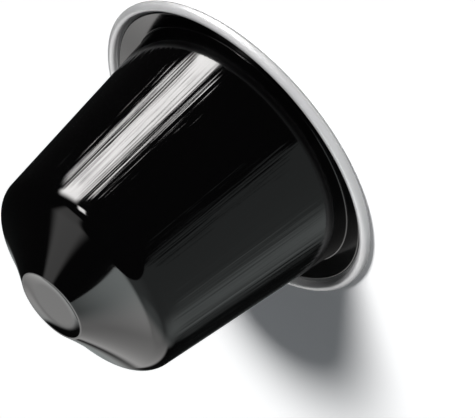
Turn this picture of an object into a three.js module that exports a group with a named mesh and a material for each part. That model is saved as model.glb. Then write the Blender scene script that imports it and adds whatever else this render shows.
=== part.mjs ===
// Aluminium coffee pod: a drawn cup with a rolled rim, sealed by a foil lid.
// It stands on its lid with the nose up. Units are millimetres, +Z is the pod's axis.
import * as THREE from "three";

// Sheet metal
const SHEET = 0.1; // wall of the drawn cup
const LID_THICKNESS = 0.04; // foil lid

// Rolled rim
const RIM_RADIUS = 18.55; // outside of the curl
const CURL_RADIUS = 0.6; // outside radius of the rolled edge's section
const CURL_TUCK = 0.12; // how far the raw edge is rolled in from that circle
const RAW_EDGE_ANGLE = 200; // degrees past the curl's inner side where the sheet ends
const GROOVE_WIDTH = 0.3; // slit between the flange and the tucked raw edge

// Flange between the wall and the rim, dished up towards the rim
const LAND_RADIUS = 15.3; // where the flat lid turns up along the flange
const FLANGE_RISE = 0.5; // height that the flange gains from there to its bend
const FLANGE_BEND = 0.15; // radius of the bend down into the groove
const LID_MARGIN = 0.15; // from the lid's edge to the inside of that bend

// Tapered wall, from its foot on the flange to the corner that the shoulder rounds off
const WALL_FOOT_RADIUS = 15.0;
const WALL_FOOT_FILLET = 0.3;
const SHOULDER_RADIUS = 11.91; // unrounded corner of wall and nose cone
const SHOULDER_HEIGHT = 23.75;
const SHOULDER_FILLET = 2.45;

// Nose
const TIP_RADIUS = 4.23; // unrounded corner of cone and tip
const TIP_HEIGHT = 28.0;
const TIP_FILLET = 0.25;
const CONE_HOLLOW = 0.14; // how far the cone dips in below a straight line
const DISH_DEPTH = 0.22; // recess in the tip
const DISH_FLAT_RADIUS = 2.6; // flat floor of that recess
const DISH_LIP = 0.15; // width of the tip's level edge outside the recess

// Facets
const TURN_SEGMENTS = 60;
const QUARTER_STEPS = 4;
const TUCK_STEPS = 5;
const BEND_STEPS = 3;
const SHOULDER_STEPS = 6;
const CONE_STEPS = 4;
const DISH_STEPS = 4;

const point = (radius, height) => new THREE.Vector2(radius, height);

// Height on the straight line through a and b at the given radius.
function heightOnLine(a, b, radius) {
  return a.y + ((b.y - a.y) * (radius - a.x)) / (b.x - a.x);
}

// Points of the arc that rounds the corner between a, corner and b.
function roundedCorner(a, corner, b, radius, steps) {
  const back = a.clone().sub(corner).normalize();
  const ahead = b.clone().sub(corner).normalize();
  const halfAngle = Math.acos(THREE.MathUtils.clamp(back.dot(ahead), -1, 1)) / 2;
  const middle = back.clone().add(ahead).normalize();
  const centre = corner.clone().addScaledVector(middle, radius / Math.sin(halfAngle));
  const tangent = radius / Math.tan(halfAngle);
  const first = corner.clone().addScaledVector(back, tangent).sub(centre);
  const last = corner.clone().addScaledVector(ahead, tangent).sub(centre);
  let sweep = last.angle() - first.angle();
  if (sweep > Math.PI) sweep -= 2 * Math.PI;
  if (sweep < -Math.PI) sweep += 2 * Math.PI;
  const points = [];
  for (let i = 0; i <= steps; i++) {
    const turned = first.clone().rotateAround(point(0, 0), (sweep * i) / steps);
    points.push(turned.add(centre));
  }
  return points;
}

// Smooth change from one value to another as share goes from 0 to 1.
function ease(from, to, share) {
  return from + ((to - from) * (1 - Math.cos(Math.PI * share))) / 2;
}

// Outside radius of the rolled sheet about the curl's centre. The angle is 0 at the curl's
// inner side, where the sheet comes down from the flange, and grows as the sheet passes
// under, outside and over the curl to the raw edge.
function curlRadiusAt(angle) {
  const start = CURL_RADIUS - CURL_TUCK + GROOVE_WIDTH + SHEET;
  const bottom = Math.PI / 2;
  const top = (3 * Math.PI) / 2;
  if (angle < bottom) return ease(start, CURL_RADIUS, angle / bottom);
  if (angle <= top) return CURL_RADIUS;
  const rawEdge = Math.PI + THREE.MathUtils.degToRad(RAW_EDGE_ANGLE);
  return ease(CURL_RADIUS, CURL_RADIUS - CURL_TUCK, (angle - top) / (rawEdge - top));
}

// One face of the rolled sheet, from the first step below its foot at the flange's bend to
// the raw edge. The outer face has inset 0, the face in the curl's hollow has inset SHEET.
function curlFace(inset, foot) {
  const centre = point(RIM_RADIUS - CURL_RADIUS, CURL_RADIUS);
  const startRadius = curlRadiusAt(0) - inset;
  const drop = THREE.MathUtils.clamp((centre.y - foot) / startRadius, 0, 0.9);
  const quarter = Math.PI / 2;
  const rawEdge = Math.PI + THREE.MathUtils.degToRad(RAW_EDGE_ANGLE);
  const stations = [Math.asin(drop), quarter, 2 * quarter, 3 * quarter, rawEdge];
  const steps = [QUARTER_STEPS, QUARTER_STEPS, QUARTER_STEPS, TUCK_STEPS];
  const points = [];
  steps.forEach((count, k) => {
    for (let i = 1; i <= count; i++) {
      const angle = THREE.MathUtils.lerp(stations[k], stations[k + 1], i / count);
      const radius = curlRadiusAt(angle) - inset;
      points.push(
        point(centre.x - radius * Math.cos(angle), centre.y - radius * Math.sin(angle)),
      );
    }
  });
  return points;
}

// Where the sheet comes down from the flange: radius of its face in the groove.
const bendRadius = RIM_RADIUS - CURL_RADIUS - (curlRadiusAt(0) - SHEET);
const flangeFoot = point(LAND_RADIUS, LID_THICKNESS + SHEET);
const flangeTop = point(bendRadius, flangeFoot.y + FLANGE_RISE);
const lowered = (p, by) => point(p.x, p.y - by);

// Lid side of the sheet: flat over the lid, up along the flange, then round the curl.
function undersideOutline() {
  const land = lowered(flangeFoot, SHEET);
  const bendX = bendRadius - SHEET;
  const corner = point(bendX, heightOnLine(flangeFoot, flangeTop, bendX) - SHEET);
  const down = point(bendX, 0);
  const bend = roundedCorner(land, corner, down, Math.max(FLANGE_BEND - SHEET, 0.02), 2);
  return [point(0, land.y), land, ...bend, ...curlFace(0, bend[bend.length - 1].y)];
}

// Body side of the sheet, from the raw edge back through the hollow of the curl.
function upperFlangeOutline() {
  const wallFoot = point(
    WALL_FOOT_RADIUS,
    heightOnLine(flangeFoot, flangeTop, WALL_FOOT_RADIUS),
  );
  const shoulder = point(SHOULDER_RADIUS, SHOULDER_HEIGHT);
  const down = point(bendRadius, 0);
  const bend = roundedCorner(down, flangeTop, flangeFoot, FLANGE_BEND, BEND_STEPS);
  const foot = roundedCorner(flangeTop, wallFoot, shoulder, WALL_FOOT_FILLET, BEND_STEPS);
  const hollow = curlFace(SHEET, bend[0].y).reverse();
  return [...hollow, ...bend, ...foot];
}

// Shoulder, slightly hollow cone and dished tip, ending on the axis.
function noseOutline() {
  const wallFoot = point(WALL_FOOT_RADIUS, flangeFoot.y);
  const shoulder = point(SHOULDER_RADIUS, SHOULDER_HEIGHT);
  const tip = point(TIP_RADIUS, TIP_HEIGHT);
  const round = roundedCorner(wallFoot, shoulder, tip, SHOULDER_FILLET, SHOULDER_STEPS);
  const inner = point(TIP_RADIUS - DISH_LIP - TIP_FILLET, TIP_HEIGHT);
  const edge = roundedCorner(shoulder, tip, inner, TIP_FILLET, BEND_STEPS);
  const from = round[round.length - 1];
  const to = edge[0];
  const inwards = point(-(to.y - from.y), to.x - from.x).normalize();
  const cone = [];
  for (let i = 1; i < CONE_STEPS; i++) {
    const share = i / CONE_STEPS;
    const dip = 4 * CONE_HOLLOW * share * (1 - share);
    cone.push(from.clone().lerp(to, share).addScaledVector(inwards, dip));
  }
  const dish = [];
  for (let i = 0; i <= DISH_STEPS; i++) {
    const share = i / DISH_STEPS;
    const radius = THREE.MathUtils.lerp(inner.x, DISH_FLAT_RADIUS, share);
    dish.push(point(radius, TIP_HEIGHT - DISH_DEPTH * (1 - (1 - share) ** 2)));
  }
  return [...round, ...cone, ...edge, ...dish, point(0, TIP_HEIGHT - DISH_DEPTH)];
}

// A closed profile turned about the pod's axis, with the axis along +Z.
function turned(outline) {
  const distinct = outline.filter((p, i) => i === 0 || p.distanceTo(outline[i - 1]) > 0.002);
  return new THREE.LatheGeometry(distinct, TURN_SEGMENTS).rotateX(Math.PI / 2);
}

// The drawn cup and the filter and coffee sealed in it, as one solid.
function makeCapsuleBody() {
  const outline = [...undersideOutline(), ...upperFlangeOutline(), ...noseOutline()];
  const blackLacquer = new THREE.MeshStandardMaterial({
    color: 0x060606,
    roughness: 0.12,
    metalness: 0.0,
  });
  const mesh = new THREE.Mesh(turned(outline), blackLacquer);
  mesh.name = "capsule_body";
  return mesh;
}

// The foil lid, flat over the cup's mouth and turned up where it is sealed to the flange.
function makeLidMembrane() {
  const land = lowered(flangeFoot, SHEET);
  const edgeRadius = bendRadius - SHEET - LID_MARGIN;
  const edge = point(
    edgeRadius,
    heightOnLine(flangeFoot, flangeTop, edgeRadius) - SHEET,
  );
  const outline = [
    point(0, land.y - LID_THICKNESS),
    lowered(land, LID_THICKNESS),
    lowered(edge, LID_THICKNESS),
    edge,
    land,
    point(0, land.y),
  ];
  const bareFoil = new THREE.MeshStandardMaterial({
    color: 0xc8c9ca,
    roughness: 0.35,
    metalness: 1.0,
  });
  const mesh = new THREE.Mesh(turned(outline), bareFoil);
  mesh.name = "lid_membrane";
  return mesh;
}

const coffeePod = new THREE.Group();
coffeePod.name = "coffee_pod";
coffeePod.add(makeCapsuleBody());
coffeePod.add(makeLidMembrane());

export default coffeePod;
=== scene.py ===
# %% [markdown]
# # A gloss black coffee pod
# This lesson dresses a small aluminium coffee pod. The real pod is a cup that is drawn from
# thin sheet, lacquered gloss black, with its bare edge rolled into a bead, and closed by foil.
# Every shape here is turned about the pod's axis, +Z. Gloss black shows little but what it
# mirrors, so half of the lesson is about the surroundings.

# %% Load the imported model
import math

import bmesh
import bpy
from mathutils import Matrix, Vector


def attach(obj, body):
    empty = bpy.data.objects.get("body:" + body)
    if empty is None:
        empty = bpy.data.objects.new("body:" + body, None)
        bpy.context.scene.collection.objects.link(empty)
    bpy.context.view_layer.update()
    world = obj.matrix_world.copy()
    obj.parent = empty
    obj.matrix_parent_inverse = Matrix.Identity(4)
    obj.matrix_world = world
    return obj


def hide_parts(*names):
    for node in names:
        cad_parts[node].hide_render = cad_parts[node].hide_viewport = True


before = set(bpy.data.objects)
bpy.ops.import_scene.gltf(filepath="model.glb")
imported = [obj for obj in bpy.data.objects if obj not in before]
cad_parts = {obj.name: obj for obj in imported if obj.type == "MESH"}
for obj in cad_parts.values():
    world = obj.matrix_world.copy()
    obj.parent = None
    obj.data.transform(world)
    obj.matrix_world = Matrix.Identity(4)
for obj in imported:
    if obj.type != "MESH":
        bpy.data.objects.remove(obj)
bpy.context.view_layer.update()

# %% [markdown]
# ## The sizes of the sheet
# The sizes are those of the CAD model, in millimetres, because the pieces that replace its
# solids stay in the same place. The rim's tuck and the tip's dish are drawn with true arcs, and
# the fillet at the wall's foot is tighter, so that the line of light in it is thinner. A section
# is drawn in millimetres and comes out in metres.

# %% Sizes in millimetres
MM = 0.001
SHEET = 0.1             # drawn sheet
FOIL = 0.04             # lid
RIM_RADIUS = 18.55      # outside of the rolled edge
CURL_RADIUS = 0.6       # half the rolled edge's height
TUCK_RADIUS = 0.5       # tighter roll of its last stretch, down into the groove
TUCK_TURN = 130.0       # degrees of that last stretch
BEND_RADIUS = 17.17     # sheet's face in the groove
BEND_FILLET = 0.15      # where the flange turns down into the groove
LAND_RADIUS = 15.3      # flat of the lid
FLANGE_RISE = 0.5       # from there to the bend
WALL_FOOT_RADIUS = 15.0     # unrounded corner of wall and flange
WALL_FOOT_FILLET = 0.15
SHOULDER = (11.91, 23.75)   # unrounded corner of wall and cone: radius, height
SHOULDER_FILLET = 2.45
TIP = (4.23, 28.0)          # unrounded corner of cone and tip
TIP_FILLET = 0.25
CONE_HOLLOW = 0.14      # how far the cone dips below a straight line
DISH_LIP = 0.12         # level edge of the tip
DISH_DEPTH = 0.22       # recess in the tip
DISH_SLOPE = 16.0       # degrees, at the edge of that recess
DISH_EDGE_RADIUS = 0.15
LACQUER_END = 0.46      # height at which the black stops, inside the groove
LID_EDGE_RADIUS = 16.92 # where the foil ends, short of the bend
TURN_STEPS = 240        # facets round the axis
print("rim", 2 * RIM_RADIUS, "mm across, nose", TIP[1], "mm high")

# %% [markdown]
# ## A pen that draws sections
# A turned part is one drawn line, swept round. The line could be typed in as a list of points,
# but a mirror finish shows every kink in it. So a pen draws it that leaves in the direction in
# which it arrived: straight stretches are extruded, and arcs are spun about their own centre,
# so that each arc meets its neighbours smoothly.

# %% The pen
HOLD = 0.02     # mm, a short first and last step that keeps a straight stretch straight


class SectionPen:
    """Draws a section in the XZ plane, from a radius and height, facing an angle."""

    def __init__(self, radius, height, facing):
        self.mesh = bmesh.new()
        self.tip = self.mesh.verts.new((radius * MM, 0.0, height * MM))
        self.facing = facing

    def place(self):
        return Vector((self.tip.co.x, self.tip.co.z)) / MM

    def ahead(self):
        return Vector((math.cos(self.facing), math.sin(self.facing)))

    def turn_to(self, way):
        """Angle from the pen's direction to another, positive to the left."""
        ahead = self.ahead()
        return math.atan2(ahead.x * way.y - ahead.y * way.x, ahead.dot(way))

    def line(self, length, pieces=1):
        start, ahead = self.place(), self.ahead()
        stops = [length * i / pieces for i in range(1, pieces + 1)]
        if length > 4 * HOLD:
            stops = [HOLD, *stops[:-1], length - HOLD, length]
        for stop in stops:
            made = bmesh.ops.extrude_vert_indiv(self.mesh, verts=[self.tip])
            self.tip = made["verts"][0]
            point = start + ahead * stop
            self.tip.co = (point.x * MM, 0.0, point.y * MM)

    def arc(self, radius, turn, steps):
        """Round a centre to the left for a positive turn in radians, else to the right."""
        side = Vector((-math.sin(self.facing), math.cos(self.facing)))
        centre = self.place() + side * math.copysign(radius, turn)
        swept = bmesh.ops.spin(
            self.mesh, geom=[self.tip], cent=(centre.x * MM, 0.0, centre.y * MM),
            axis=(0.0, -1.0, 0.0), angle=turn, steps=steps, use_merge=False,
        )
        self.tip = swept["geom_last"][0]
        self.facing += turn

    def arc_to(self, point, steps):
        """The one arc that leaves straight on and ends at a point."""
        chord = Vector(point) - self.place()
        turn = 2 * self.turn_to(chord)
        self.arc(chord.length / 2 / math.sin(abs(turn) / 2), turn, steps)

    def corner(self, corner, after, radius, steps, pieces=1, extra=0.0):
        """Straight on to a corner, rounded so that the pen then faces the next one.

        The extra angle, in radians, is turned past that."""
        corner = Vector(corner)
        turn = self.turn_to((Vector(after) - corner).normalized())
        cut = radius * math.tan(abs(turn) / 2)
        self.line((corner - self.place()).length - cut, pieces)
        self.arc(radius, turn + extra, steps)

    def sharp(self, after):
        """A crisp turn on the spot, to face a point."""
        self.facing += self.turn_to((Vector(after) - self.place()).normalized())


print("shortest step of the pen:", HOLD, "mm")

# %% [markdown]
# ## Sweeping a section
# Spin with its doubles merged closes the turn, and the points that meet on the axis are merged
# as well. The normals are worked out again afterwards, because a spin can leave a shape
# inside out. Corners sharper than the limit are left crisp, and the rest is shaded smooth.

# %% The sweep
CRISP = math.radians(40)
DOUBLES = 1e-4          # mm, points closer than this are one


def turned_piece(name, mesh, thickness=0.0):
    """Sweeps a drawn section round the axis into a named object."""
    bmesh.ops.spin(
        mesh, geom=mesh.verts[:] + mesh.edges[:], cent=(0, 0, 0), axis=(0, 0, 1),
        angle=2 * math.pi, steps=TURN_STEPS, use_merge=True,
    )
    bmesh.ops.remove_doubles(mesh, verts=mesh.verts[:], dist=DOUBLES * MM)
    bmesh.ops.recalc_face_normals(mesh, faces=mesh.faces[:])
    if thickness:
        bmesh.ops.solidify(mesh, geom=mesh.faces[:], thickness=thickness * MM)
    for face in mesh.faces:
        face.smooth = True
    data = bpy.data.meshes.new(name)
    mesh.to_mesh(data)
    open_edges = sum(not edge.is_manifold for edge in mesh.edges)
    volume = mesh.calc_volume(signed=True)
    mesh.free()
    data.set_sharp_from_angle(angle=CRISP)
    piece = bpy.data.objects.new(name, data)
    bpy.context.scene.collection.objects.link(piece)
    print(name, len(data.polygons), "faces,", open_edges, "open edges,",
          round(volume / MM**3, 1), "mm3")
    return piece


print("corners sharper than", round(math.degrees(CRISP)), "degrees stay crisp")

# %% [markdown]
# ## The drawn cup
# The cup starts under the middle of the lid, runs out below the flange, turns over the sheet's
# thickness in the groove, comes back over the flange and turns up at the wall's foot. It is
# drawn as one closed section, because the pod is packed full of coffee. What a finger would
# feel on it are bends of the sheet, so each corner is rounded, down to the one at the wall's
# foot.

# %% Draw the cup
slope = FLANGE_RISE / (BEND_RADIUS - LAND_RADIUS)
land = Vector((LAND_RADIUS, FOIL))
under_bend = land + Vector((1, slope)) * (BEND_RADIUS - SHEET - LAND_RADIUS)
over_bend = land + Vector((BEND_RADIUS - LAND_RADIUS, SHEET + FLANGE_RISE))
wall_foot = over_bend + Vector((1, slope)) * (WALL_FOOT_RADIUS - BEND_RADIUS)

cup = SectionPen(0.0, FOIL, 0.0)
cup.line(LAND_RADIUS, pieces=8)
cup.sharp(under_bend)
cup.corner(under_bend, (under_bend.x, 0.0), BEND_FILLET - SHEET, steps=6, pieces=2)
cup.line(cup.place().y - LACQUER_END)
cup.sharp((BEND_RADIUS, LACQUER_END))
cup.line(SHEET)
cup.sharp(over_bend)
cup.corner(over_bend, wall_foot, BEND_FILLET, steps=14)
cup.corner(wall_foot, SHOULDER, WALL_FOOT_FILLET, steps=14, pieces=4)
print("wall sets out at", [round(v, 2) for v in cup.place()])

# %% [markdown]
# ## The nose
# The nose is pressed in with the cup: a broad shoulder, a cone, and a tip with a shallow dish. The
# cone's outline in the photograph is slightly hollow, so a straight line would be wrong. Points
# typed in along a curve would show as rings of light. So the cone is one long arc between the
# shoulder and the tip, and the pen meets both without a kink.

# %% Draw the nose
# The shoulder turns a little past the cone's own direction, and the cone, one long arc,
# turns back. That is the hollow.
cone_run = math.dist(SHOULDER, TIP) - SHOULDER_FILLET / 2
hollow_turn = 2 * math.atan(2 * CONE_HOLLOW / cone_run)
cup.corner(SHOULDER, TIP, SHOULDER_FILLET, steps=30, pieces=24, extra=hollow_turn)
cone_direction = math.atan2(TIP[1] - SHOULDER[1], TIP[0] - SHOULDER[0])
tip_turn = math.pi - cone_direction + hollow_turn
tip_start = Vector(TIP) + Vector((
    TIP_FILLET * (math.sin(tip_turn) - math.tan((math.pi - cone_direction) / 2)),
    -TIP_FILLET * (1 - math.cos(tip_turn)),
))
cup.arc_to(tip_start, steps=24)
cup.arc(TIP_FILLET, math.pi - cup.facing, steps=12)
cup.line(DISH_LIP)
dish_turn = math.radians(DISH_SLOPE)
cup.arc(DISH_EDGE_RADIUS, dish_turn, steps=5)
drop_left = DISH_DEPTH - DISH_EDGE_RADIUS * (1 - math.cos(dish_turn))
cup.arc(drop_left / (1 - math.cos(dish_turn)), -dish_turn, steps=20)
print("dish flat inside radius", round(cup.place().x, 2), "at height", round(cup.place().y, 3))
cup.line(cup.place().x, pieces=3)
cup.tip.co.x = 0.0      # exactly on the axis, so that the sweep closes
drawn_cup = turned_piece("drawn_cup", cup.mesh)

# %% [markdown]
# ## The rolled edge
# A cut sheet edge is sharp, so it is rolled outwards into a bead that also stiffens the rim.
# Only the outer face is drawn here: down from the flange, out along the bottom, up over the
# outside, and in again, tighter, so that the raw edge hides in the groove. Then the face is
# given the sheet's thickness, inwards. A solid ring would look the same from far away, but its
# groove would have no depth and the raw edge would be missing.

# %% Roll the edge
centre_radius = RIM_RADIUS - CURL_RADIUS
rim = SectionPen(BEND_RADIUS - SHEET, LACQUER_END, -math.pi / 2)
rim.arc(LACQUER_END, math.pi / 2, steps=12)

# That quarter is stretched sideways, so that its low end lies under the curl's centre.
quarter = rim.mesh.verts[:]
stretch = (centre_radius - (BEND_RADIUS - SHEET)) / LACQUER_END
bmesh.ops.scale(
    rim.mesh, verts=quarter, vec=(stretch, 1.0, 1.0),
    space=Matrix.Translation((-(BEND_RADIUS - SHEET) * MM, 0.0, 0.0)),
)
rim.arc(CURL_RADIUS, math.pi, steps=32)
rim.arc(TUCK_RADIUS, math.radians(TUCK_TURN), steps=22)
print("raw edge ends at", [round(v, 2) for v in rim.place()])
rolled_rim = turned_piece("rolled_rim", rim.mesh, thickness=SHEET)

# %% [markdown]
# ## The foil lid
# The lid is a disc of foil, flat over the mouth and turned up where it is sealed to the flange.
# It could be left as the CAD model has it. It is swept again because its seal is pressed by a
# hot ring, which leaves a shallow step round the flat.

# %% Draw the lid
SEAL_STEP = 0.012       # mm pressed in
SEAL_STEP_RADIUS = 15.05
SEAL_STEP_WIDTH = 0.05
lid = SectionPen(0.0, SEAL_STEP, 0.0)
lid.line(SEAL_STEP_RADIUS, pieces=8)
lid.sharp((SEAL_STEP_RADIUS + SEAL_STEP_WIDTH, 0.0))
lid.line(math.hypot(SEAL_STEP_WIDTH, SEAL_STEP))
lid.sharp((LAND_RADIUS, 0.0))
lid.line(LAND_RADIUS - lid.place().x)
lid_edge = Vector((LID_EDGE_RADIUS, slope * (LID_EDGE_RADIUS - LAND_RADIUS)))
lid.sharp(lid_edge)
lid.line((lid_edge - lid.place()).length, pieces=3)
lid.sharp(lid_edge + Vector((0.0, FOIL)))
lid.line(FOIL)
lid.sharp(land)
lid.line((land - lid.place()).length, pieces=3)
lid.sharp((0.0, FOIL))
lid.line(LAND_RADIUS, pieces=8)
lid.tip.co.x = 0.0
lid_foil = turned_piece("lid_foil", lid.mesh)

# %% [markdown]
# ## Riding and replacing
# Nothing on a sealed pod moves, so each piece rides on the one body. The cup and its rolled
# edge stand for the CAD solid of the body, and the foil stands for the lid.

# %% Tie the pieces to the model
for piece, node, slot in (
    (drawn_cup, "capsule_body", "black_lacquer"),
    (rolled_rim, "capsule_body", "rim_metal"),
    (lid_foil, "lid_membrane", "lid_foil"),
):
    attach(piece, "root")
    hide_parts(node)
    print(piece.name, "stands for", node)

# %% [markdown]
# ## Small helpers for node materials
# A node tree is easier to read when each node is made in one line, with its inputs given by
# name. An input is either a number or the output of an earlier node.

# %% Node helpers


def add_node(tree, kind, inputs=None, **settings):
    node = tree.nodes.new(kind)
    for key, value in settings.items():
        setattr(node, key, value)
    for key, value in (inputs or {}).items():
        if isinstance(value, bpy.types.NodeSocket):
            tree.links.new(value, node.inputs[key])
        else:
            node.inputs[key].default_value = value
    return node


def maths(tree, operation, *values):
    node = add_node(tree, "ShaderNodeMath", dict(enumerate(values)), operation=operation)
    return node.outputs[0]


def share(tree, value, low, high):
    """How far a value is from low to high, from 0 to 1, with a soft start and end."""
    node = add_node(
        tree, "ShaderNodeMapRange", {"Value": value, "From Min": low, "From Max": high},
        interpolation_type="SMOOTHSTEP",
    )
    return node.outputs["Result"]


def new_material(name):
    material = bpy.data.materials.new(name)
    material.use_nodes = True
    tree = material.node_tree
    return material, tree, tree.nodes["Principled BSDF"]


print("helpers:", [helper.__name__ for helper in (add_node, maths, share, new_material)])

# %% [markdown]
# ## Grain that follows the turning
# Drawing pulls fine lines up the wall, and rolling rubs fine lines round the rim. Both are
# the same effect: noise that is stretched in one direction of a turned part. The group reads
# the place on the object, splits it into the way round, the height and the radius, and puts
# out one value. A plain noise in X, Y and Z would draw spots instead of lines.

# %% The grain group


def make_turned_grain():
    group = bpy.data.node_groups.new("turned_grain", "ShaderNodeTree")
    for name, start in (("Around", 60.0), ("Up", 0.1), ("Out", 0.0), ("Roughness", 0.6)):
        socket = group.interface.new_socket(name, in_out="INPUT", socket_type="NodeSocketFloat")
        socket.default_value = start
    group.interface.new_socket("Grain", in_out="OUTPUT", socket_type="NodeSocketFloat")
    given = group.nodes.new("NodeGroupInput")
    place = add_node(group, "ShaderNodeTexCoord").outputs["Object"]
    axes = add_node(group, "ShaderNodeSeparateXYZ", {"Vector": place}).outputs
    radius = maths(group, "SQRT", maths(
        group, "ADD", maths(group, "MULTIPLY", axes["X"], axes["X"]),
        maths(group, "MULTIPLY", axes["Y"], axes["Y"])))
    safe_radius = maths(group, "MAXIMUM", radius, 0.01 * MM)
    around = given.outputs["Around"]
    east = maths(group, "MULTIPLY", maths(group, "DIVIDE", axes["X"], safe_radius), around)
    north = maths(group, "MULTIPLY", maths(group, "DIVIDE", axes["Y"], safe_radius), around)
    height = maths(group, "MULTIPLY", maths(group, "DIVIDE", axes["Z"], MM), given.outputs["Up"])
    out = maths(group, "MULTIPLY", maths(group, "DIVIDE", radius, MM), given.outputs["Out"])
    vector = add_node(group, "ShaderNodeCombineXYZ", {"X": east, "Y": north, "Z": height})
    noise = add_node(
        group, "ShaderNodeTexNoise",
        {"Vector": vector.outputs[0], "W": out, "Scale": 1.0, "Detail": 3.0,
         "Roughness": given.outputs["Roughness"]},
        noise_dimensions="4D",
    )
    result = group.nodes.new("NodeGroupOutput")
    group.links.new(noise.outputs[0], result.inputs["Grain"])
    return group


turned_grain = make_turned_grain()


def grain(tree, around, up, out, roughness=0.6):
    node = add_node(tree, "ShaderNodeGroup", node_tree=turned_grain)
    for name, value in zip(("Around", "Up", "Out", "Roughness"), (around, up, out, roughness)):
        node.inputs[name].default_value = value
    return node.outputs["Grain"]


print("grain group inputs:", [socket.name for socket in turned_grain.interface.items_tree])

# %% [markdown]
# ## Black lacquer
# Baked lacquer on drawn aluminium is a dark, clear coat. It has next to no colour of its own:
# what the eye sees is the surroundings, at four to ten parts in a hundred, and more where it is
# seen at a low angle. The sheet's drawing lines show through it as a faint up and down wander
# of the mirror, so the bump is tiny. It fades out towards the flange and on the nose, where the
# photograph shows none. The very foot of the wall is a little duller, so the highlight ends there
# softly.

# %% The lacquer
LINE_DEPTH = 0.022      # mm, fine creases
WANDER_DEPTH = 0.085    # mm, the slower wander of the wall
FLANGE_FADE = (1.0, 6.0)    # mm up, where both set in
NOSE_FADE = (20.5, 23.0)    # and fade out again
FOOT_FADE = (0.7, 3.0)      # where the foot's dullness ends
FOOT_ROUGHNESS = 0.10   # added there
GLOSS = (0.03, 0.09)    # roughness elsewhere
LACQUER_IOR = 1.5

lacquer, tree, shader = new_material("black_lacquer")
fine = grain(tree, 60.0, 0.05, 0.0)
slow = grain(tree, 24.0, 0.025, 0.0, 0.5)
crease = maths(tree, "ABSOLUTE", maths(tree, "SUBTRACT", fine, 0.5))
place = add_node(tree, "ShaderNodeTexCoord").outputs["Object"]
height = add_node(tree, "ShaderNodeSeparateXYZ", {"Vector": place}).outputs["Z"]
below_shoulder = share(tree, height, NOSE_FADE[1] * MM, NOSE_FADE[0] * MM)
above_flange = share(tree, height, FLANGE_FADE[0] * MM, FLANGE_FADE[1] * MM)
on_wall = maths(tree, "MULTIPLY", below_shoulder, above_flange)
fine_bump = add_node(tree, "ShaderNodeBump", {
    "Strength": on_wall, "Distance": LINE_DEPTH * MM, "Height": crease})
slow_bump = add_node(tree, "ShaderNodeBump", {
    "Strength": on_wall, "Distance": WANDER_DEPTH * MM, "Height": slow,
    "Normal": fine_bump.outputs["Normal"]})
tree.links.new(slow_bump.outputs["Normal"], shader.inputs["Normal"])
tone = add_node(tree, "ShaderNodeMix", {
    "Factor": fine, "A": (0.0006, 0.0006, 0.0007, 1.0), "B": (0.0012, 0.0011, 0.0012, 1.0),
}, data_type="RGBA")
tree.links.new(tone.outputs["Result"], shader.inputs["Base Color"])
gloss = add_node(tree, "ShaderNodeMapRange", {
    "Value": fine, "To Min": GLOSS[0], "To Max": GLOSS[1]})
at_foot = share(tree, height, FOOT_FADE[1] * MM, FOOT_FADE[0] * MM)
foot_dull = maths(tree, "MULTIPLY", at_foot, FOOT_ROUGHNESS)
dulled = maths(tree, "ADD", gloss.outputs["Result"], foot_dull)
tree.links.new(dulled, shader.inputs["Roughness"])
shader.inputs["IOR"].default_value = LACQUER_IOR
drawn_cup.data.materials.append(lacquer)
print("lacquer nodes:", len(tree.nodes))

# %% [markdown]
# ## Bare rolled metal
# The bead is not lacquered. Rolling leaves it satin, with fine lines round it. The more metallic
# it is, the more it mirrors the dark room, and the photograph shows a pale rim. So only part of
# its look is metallic, and the rest is dull.

# %% The rim's metal
RIM_LINE_DEPTH = 0.002  # mm
RIM_ROUGHNESS = (0.36, 0.50)
RIM_METALLIC = 0.3

bare_metal, tree, shader = new_material("rolled_bare_metal")
lines = grain(tree, 1.5, 0.0, 14.0)
patches = grain(tree, 6.0, 0.5, 0.5, 0.5)
tone = add_node(tree, "ShaderNodeMix", {
    "Factor": patches, "A": (0.60, 0.60, 0.61, 1.0), "B": (0.74, 0.74, 0.74, 1.0),
}, data_type="RGBA")
tree.links.new(tone.outputs["Result"], shader.inputs["Base Color"])
dull = add_node(tree, "ShaderNodeMapRange", {
    "Value": lines, "To Min": RIM_ROUGHNESS[0], "To Max": RIM_ROUGHNESS[1]})
tree.links.new(dull.outputs["Result"], shader.inputs["Roughness"])
bump = add_node(tree, "ShaderNodeBump", {
    "Strength": 1.0, "Distance": RIM_LINE_DEPTH * MM, "Height": lines})
tree.links.new(bump.outputs["Normal"], shader.inputs["Normal"])
shader.inputs["Metallic"].default_value = RIM_METALLIC
rolled_rim.data.materials.append(bare_metal)
print("rim metal nodes:", len(tree.nodes))

# %% [markdown]
# ## Lid foil
# Foil is rolled thin between two rolls, which draws straight lines across the whole disc, all
# one way. The seal round its edge is pressed by a hot ring with a fine tooth, so there the
# surface is duller.

# %% The lid's foil
ROLLING_LINES = (120.0, 9000.0, 1000.0)     # per metre: long along X, fine across
FOIL_RELIEF = 0.004     # mm
FOIL_ROUGHNESS = (0.28, 0.42)   # rolled, sealed

foil, tree, shader = new_material("lid_foil")
place = add_node(tree, "ShaderNodeTexCoord").outputs["Object"]
stretched = add_node(tree, "ShaderNodeMapping", {
    "Vector": place, "Scale": ROLLING_LINES})
rolling = add_node(tree, "ShaderNodeTexNoise", {
    "Vector": stretched.outputs[0], "Scale": 1.0, "Detail": 3.0}).outputs[0]
teeth = grain(tree, 150.0, 0.0, 3.0)
away = add_node(tree, "ShaderNodeVectorMath", {0: place}, operation="LENGTH").outputs["Value"]
sealed = share(tree, away, (SEAL_STEP_RADIUS - SEAL_STEP_WIDTH) * MM,
               (SEAL_STEP_RADIUS + 2 * SEAL_STEP_WIDTH) * MM)
relief = add_node(tree, "ShaderNodeMix", {"Factor": sealed, "A": rolling, "B": teeth})
bump = add_node(tree, "ShaderNodeBump", {
    "Strength": 0.8, "Distance": FOIL_RELIEF * MM, "Height": relief.outputs["Result"]})
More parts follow.
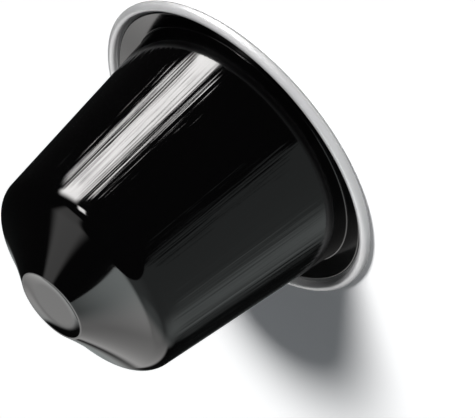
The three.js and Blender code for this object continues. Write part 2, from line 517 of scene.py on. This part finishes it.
tree.links.new(bump.outputs["Normal"], shader.inputs["Normal"])
dull = add_node(tree, "ShaderNodeMapRange", {
    "Value": sealed, "To Min": FOIL_ROUGHNESS[0], "To Max": FOIL_ROUGHNESS[1]})
tree.links.new(dull.outputs["Result"], shader.inputs["Roughness"])
tone = add_node(tree, "ShaderNodeMix", {
    "Factor": rolling, "A": (0.70, 0.705, 0.71, 1.0), "B": (0.80, 0.805, 0.81, 1.0),
}, data_type="RGBA")
tree.links.new(tone.outputs["Result"], shader.inputs["Base Color"])
shader.inputs["Metallic"].default_value = 1.0
lid_foil.data.materials.append(foil)
print("foil nodes:", len(tree.nodes))

# %% [markdown]
# ## The camera
# The photographer looked at the nose from about 26 degrees above the lid's plane, with the
# camera rolled, so that the nose points to the lower left. The camera's three directions were
# fitted to the outline of the rim, the wall and the tip.

# %% Set up the camera
RIGHT = Vector((-0.6490, -0.3403, -0.6805))
UP = Vector((0.7607, -0.2725, -0.5892))
BACK = Vector((0.0151, -0.9000, 0.4357))
CAMERA_PLACE = Vector((0.0, -0.2913, 0.1461))   # metres
LENS = 235.55           # mm, for the sensor's width
SENSOR_WIDTH = 36.0

camera_data = bpy.data.cameras.new("camera")
camera_data.sensor_width = SENSOR_WIDTH
camera_data.lens = LENS
camera_data.clip_start = 10 * MM
camera = bpy.data.objects.new("camera", camera_data)
turn = Matrix((RIGHT, UP, BACK)).transposed().to_4x4()
camera.matrix_world = Matrix.Translation(CAMERA_PLACE) @ turn
bpy.context.scene.collection.objects.link(camera)
bpy.context.scene.camera = camera
bpy.context.scene.view_settings.view_transform = "Standard"
print("camera looks down by", round(math.degrees(math.asin(BACK.z)), 1), "degrees")

# %% [markdown]
# ## The floor
# The floor is plain and white. A real floor needs bright lamps to reach full white, and they
# brighten the rim as well. So the floor is whiter to the camera only, and the lamps stay at a
# plain level. It isn't mirrored in the pod: the photograph shows black where it would stand in
# the wall.

# %% Lay the floor
FLOOR_REACH = 3.0       # metres
FLOOR_WHITE = 0.8       # to all but the camera
FLOOR_GAIN = 1.57       # to the camera
floor_data = bpy.data.meshes.new("floor")
floor_mesh = bmesh.new()
bmesh.ops.create_grid(floor_mesh, x_segments=1, y_segments=1, size=FLOOR_REACH)
floor_mesh.to_mesh(floor_data)
floor_mesh.free()
floor = bpy.data.objects.new("floor", floor_data)
bpy.context.scene.collection.objects.link(floor)
floor.visible_glossy = False

pale, tree, shader = new_material("floor_white")
to_camera = add_node(tree, "ShaderNodeLightPath").outputs["Is Camera Ray"]
whiteness = add_node(tree, "ShaderNodeMapRange", {
    "Value": to_camera, "To Min": FLOOR_WHITE, "To Max": FLOOR_GAIN})
plain_white = add_node(tree, "ShaderNodeBsdfDiffuse", {"Color": whiteness.outputs["Result"]})
tree.links.new(plain_white.outputs[0], tree.nodes["Material Output"].inputs["Surface"])
tree.nodes.remove(shader)
floor_data.materials.append(pale)
print("floor", 2 * FLOOR_REACH, "m across")

# %% [markdown]
# ## The lamps
# A broad lamp beside the pod lays one soft shadow with a dark core under its side, and lights the
# rim on that side. A second lamp, almost level with the floor, lights the outside of the rim from
# the front. It casts no shadow, which would be a long faint streak. Neither is mirrored in the
# pod, because the bright shapes in the lacquer come from the world.

# %% Set up the lamps


def sun(name, compass_angle, elevation, softness, strength, shadow=True):
    """A lamp far away, so that the whole floor is lit alike. Angles are in degrees."""
    across, up = math.radians(compass_angle), math.radians(elevation)
    way = Vector((math.cos(across) * math.cos(up), math.sin(across) * math.cos(up),
                  math.sin(up)))
    data = bpy.data.lights.new(name, "SUN")
    data.energy = strength
    data.angle = math.radians(softness)
    data.use_shadow = shadow
    lamp = bpy.data.objects.new(name, data)
    lamp.rotation_mode = "QUATERNION"
    lamp.rotation_quaternion = way.to_track_quat("Z", "Y")
    lamp.visible_glossy = False
    bpy.context.scene.collection.objects.link(lamp)
    print(name, "lights a level face by", round(strength * way.z, 2), "W/m2")


sun("rim_lamp", compass_angle=262.0, elevation=3.0, softness=12.0, strength=1.3, shadow=False)
sun("side_lamp", compass_angle=314.0, elevation=41.0, softness=18.0, strength=2.7)

# %% [markdown]
# ## What the lacquer mirrors
# The surroundings are part of the finish. Read off the photograph, they are a dark room, a
# sheet of white paper behind and beside the pod, a tall softbox that draws the bright line
# down the wall and a glint on the shoulder, and a dim lamp overhead that draws the band on the
# cone. Panels could stand round the pod for them, but they would have to be turned by hand. The
# world shader holds them by direction, so first it needs ways to ask where a ray points.

# %% Directions in the world
world = bpy.data.worlds.new("studio")
bpy.context.scene.world = world
world.use_nodes = True
world.cycles.sampling_method = "NONE"
tree = world.node_tree
tree.nodes.clear()
way = add_node(tree, "ShaderNodeTexCoord").outputs["Generated"]
axes = add_node(tree, "ShaderNodeSeparateXYZ", {"Vector": way}).outputs
height = axes["Z"]
compass = maths(tree, "ARCTAN2", axes["Y"], axes["X"])


def towards(direction):
    """Cosine of the angle between the ray and a direction."""
    unit = Vector(direction).normalized()
    node = add_node(tree, "ShaderNodeVectorMath", {0: way, 1: unit}, operation="DOT_PRODUCT")
    return node.outputs["Value"]


def between(value, low, high, soft):
    """1 from low to high, 0 outside, with soft edges."""
    rise = share(tree, value, low - soft, low + soft)
    fall = share(tree, value, high + soft, high - soft)
    return maths(tree, "MULTIPLY", rise, fall)


def compass_between(middle, half_width, soft):
    """1 within a range of compass angles in degrees."""
    off = maths(tree, "WRAP", maths(tree, "SUBTRACT", compass, math.radians(middle)),
                math.pi, -math.pi)
    return between(off, -math.radians(half_width), math.radians(half_width),
                   math.radians(soft))


def times(*values):
    result = values[0]
    for value in values[1:]:
        result = maths(tree, "MULTIPLY", result, value)
    return result


def plus(*values):
    result = values[0]
    for value in values[1:]:
        result = maths(tree, "ADD", result, value)
    return result


def without(value):
    """What is left of 1."""
    return maths(tree, "SUBTRACT", 1.0, value)


print("world nodes for directions:", len(tree.nodes))

# %% [markdown]
# ## The paper
# The paper is brightest high up behind the pod. Its edge is straight, a shadow lies on it at the
# pod's foot, and it ends towards the far side. The wall in the photograph isn't one even grey, so
# the paper's level changes over the sheet. A level of 1 is white.

# %% Hang the paper
PAPER_SIDE = (-0.847, 0.487, -0.211)    # straight away from the paper's edge
PAPER_GLOW = (-0.458, 0.794, 0.400)
PAPER_CORNER = (-0.72, 0.20, 0.66)
BEHIND_ABOVE = (0.0, 0.47, 0.88)
PAPER_LEVEL = 0.34      # where nothing is added
CORNER_LEVEL = 0.35
ABOVE_LEVEL = 2.2
OVERHEAD_LEVEL = 0.16
BESIDE_LEVEL = 0.5

# From none to full, as cosines of the angle from the middle.
GLOW_SPREAD = (0.70, 0.93)
CORNER_SPREAD = (0.90, 0.99)
ABOVE_SPREAD = (0.84, 0.995)
EDGE_SPREAD = (-0.006, 0.006)

# From none to full, as the height of the ray's direction.
OVERHEAD_RISE = (0.3, 0.9)
BESIDE_FALL = (0.4, 0.0)
SHADOW_FALL = (0.17, 0.02)

# From none to full, in degrees of compass angle.
FAR_END = (83.0, 88.0)
PAST_HALF_TURN = (0.0, -6.0)    # such angles count as negative

glow = share(tree, towards(PAPER_GLOW), *GLOW_SPREAD)
corner_glow = times(share(tree, towards(PAPER_CORNER), *CORNER_SPREAD), CORNER_LEVEL)
above_glow = times(share(tree, towards(BEHIND_ABOVE), *ABOVE_SPREAD), ABOVE_LEVEL)
overhead = times(share(tree, height, *OVERHEAD_RISE), OVERHEAD_LEVEL)
beside = times(
    compass_between(middle=170.0, half_width=11.0, soft=9.0),
    share(tree, height, *BESIDE_FALL), BESIDE_LEVEL)
level = plus(PAPER_LEVEL, glow, corner_glow, above_glow, overhead, beside)
edge = share(tree, towards(PAPER_SIDE), *EDGE_SPREAD)
near_part = share(tree, compass, *map(math.radians, FAR_END))
other_half = share(tree, compass, *map(math.radians, PAST_HALF_TURN))
on_sheet = maths(tree, "MAXIMUM", near_part, other_half)
shadow = times(
    compass_between(middle=124.0, half_width=24.0, soft=6.0),
    share(tree, height, *SHADOW_FALL))
paper = times(edge, on_sheet, without(shadow), level)
print("paper level from", PAPER_LEVEL, "up")

# %% [markdown]
# ## The bright lamps in the mirror
# Lacquer mirrors only about four parts in a hundred of what stands straight in front of it, so
# the softbox is many times as bright as white. It fades towards its top. The glint on the
# shoulder stands a little to its side, as the photograph has it. The dim lamp overhead is a long
# one, and it is boxed in across and along its own length.

# %% Hang the lamps
STRIP_LEVEL = 17.0
GLINT_LEVEL = 16.0
LONG_LAMP_LEVEL = 0.85
LONG_LAMP_ACROSS = (-0.770, -0.502, 0.394)
LONG_LAMP_ALONG = (-0.521, 0.851, 0.066)
LONG_LAMP_MIDDLE = (0.369, 0.154, 0.916)

# From none to full, as the height of the ray's direction.
STRIP_TOP = (0.34, -0.12)
STRIP_FOOT = (-0.75, -0.6)

# From one edge to the other, as a height or a cosine.
GLINT_HEIGHTS = (0.27, 0.47)
LONG_LAMP_WIDTH = (-0.235, 0.045)
LONG_LAMP_LENGTH = (-0.45, 0.45)
LONG_LAMP_NEAR = (0.5, 0.6)     # so that it has no twin on the other side

strip = times(
    compass_between(middle=341.5, half_width=10.5, soft=3.5),
    share(tree, height, *STRIP_TOP), share(tree, height, *STRIP_FOOT), STRIP_LEVEL)
glint = times(
    compass_between(middle=323.5, half_width=4.5, soft=2.0),
    between(height, *GLINT_HEIGHTS, soft=0.04), GLINT_LEVEL)
long_lamp = times(
    between(towards(LONG_LAMP_ACROSS), *LONG_LAMP_WIDTH, soft=0.05),
    between(towards(LONG_LAMP_ALONG), *LONG_LAMP_LENGTH, soft=0.05),
    share(tree, towards(LONG_LAMP_MIDDLE), *LONG_LAMP_NEAR), LONG_LAMP_LEVEL)
print("strip is", STRIP_LEVEL, "times as bright as white")

# %% [markdown]
# ## Putting the world together
# A second reflection, of the pod in itself, is dimmed by choice. The paper is a little green
# where it doesn't glow, and the lamps are warm. Only mirrored rays see all this: the camera sees
# plain white, and dull surfaces get a low plain level. One world for all rays would light the
# floor and the rim by the softbox as well.

# %% Mix the world
ROOM_LEVEL = 0.012
PLAIN_LEVEL = 0.07
SECOND_LOSS = 0.7       # of what is mirrored a second time
SECOND_DEPTH = (2.4, 2.6)   # a first reflection meets the world at a ray depth of 2

ray = add_node(tree, "ShaderNodeLightPath").outputs
again = share(tree, ray["Ray Depth"], *SECOND_DEPTH)
total = times(plus(ROOM_LEVEL, paper, strip, glint, long_lamp), without(times(again, SECOND_LOSS)))
tint = add_node(tree, "ShaderNodeMix", {
    "Factor": times(edge, without(glow)),
    "A": (1.0, 0.985, 0.975, 1.0), "B": (0.93, 1.0, 0.99, 1.0),
}, data_type="RGBA")
mirrored = add_node(tree, "ShaderNodeBackground", {
    "Color": tint.outputs["Result"], "Strength": total})
plain = add_node(tree, "ShaderNodeBackground", {
    "Color": (0.86, 0.93, 1.0, 1.0), "Strength": PLAIN_LEVEL})
seen = add_node(tree, "ShaderNodeBackground", {
    "Color": (1.0, 1.0, 1.0, 1.0), "Strength": 1.0})
shiny = add_node(tree, "ShaderNodeMixShader", {
    0: ray["Is Glossy Ray"], 1: plain.outputs[0], 2: mirrored.outputs[0]})
whole = add_node(tree, "ShaderNodeMixShader", {
    0: ray["Is Camera Ray"], 1: shiny.outputs[0], 2: seen.outputs[0]})
add_node(tree, "ShaderNodeOutputWorld", {"Surface": whole.outputs[0]})
print("world nodes:", len(tree.nodes))
